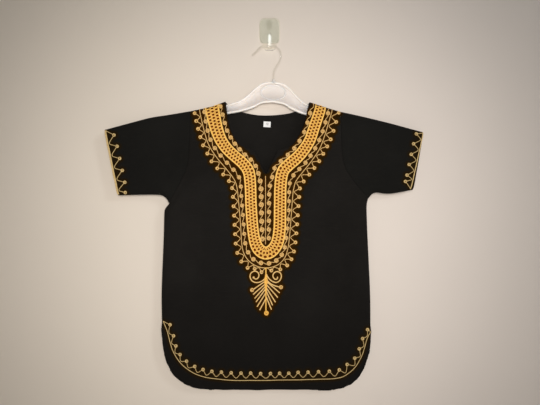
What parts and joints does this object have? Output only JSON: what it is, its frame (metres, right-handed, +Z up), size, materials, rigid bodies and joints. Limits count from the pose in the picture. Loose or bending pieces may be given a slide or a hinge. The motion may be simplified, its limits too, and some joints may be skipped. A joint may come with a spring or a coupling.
{
  "type": "dashiki shirt on a hanger and wall hook",
  "caption": "Child's short-sleeved dashiki shirt with a stitched neck band and rounded tails, hanging flat on a moulded hanger from a clear adhesive wall hook.",
  "frame": {"origin": "centre of the adhesive strip's flat back face, where it meets the wall", "axes": "+Z up, +X to the right as seen from the front, +Y into the wall, so the shirt faces -Y"},
  "size_m": [0.5886, 0.026, 0.6937],
  "materials": {
    "black_cotton": "matt plain-woven cotton, pressed",
    "gold_thread": "chain-stitched thread with a soft sheen",
    "white_label": "smooth woven tape",
    "white_plastic": "moulded, soft gloss",
    "clear_plastic": "clear moulded plastic",
    "foam_tape": "translucent foam tape"
  },
  "bodies": {
    "root": {"front_panel": "black_cotton", "back_panel": "black_cotton", "sleeve_left": "black_cotton", "sleeve_right": "black_cotton", "neck_embroidery": "gold_thread", "size_label": "white_label", "hanger_body": "white_plastic", "hanger_hook": "clear_plastic", "wall_hook": "clear_plastic", "adhesive_strip": "foam_tape"}
  },
  "joints": []
}
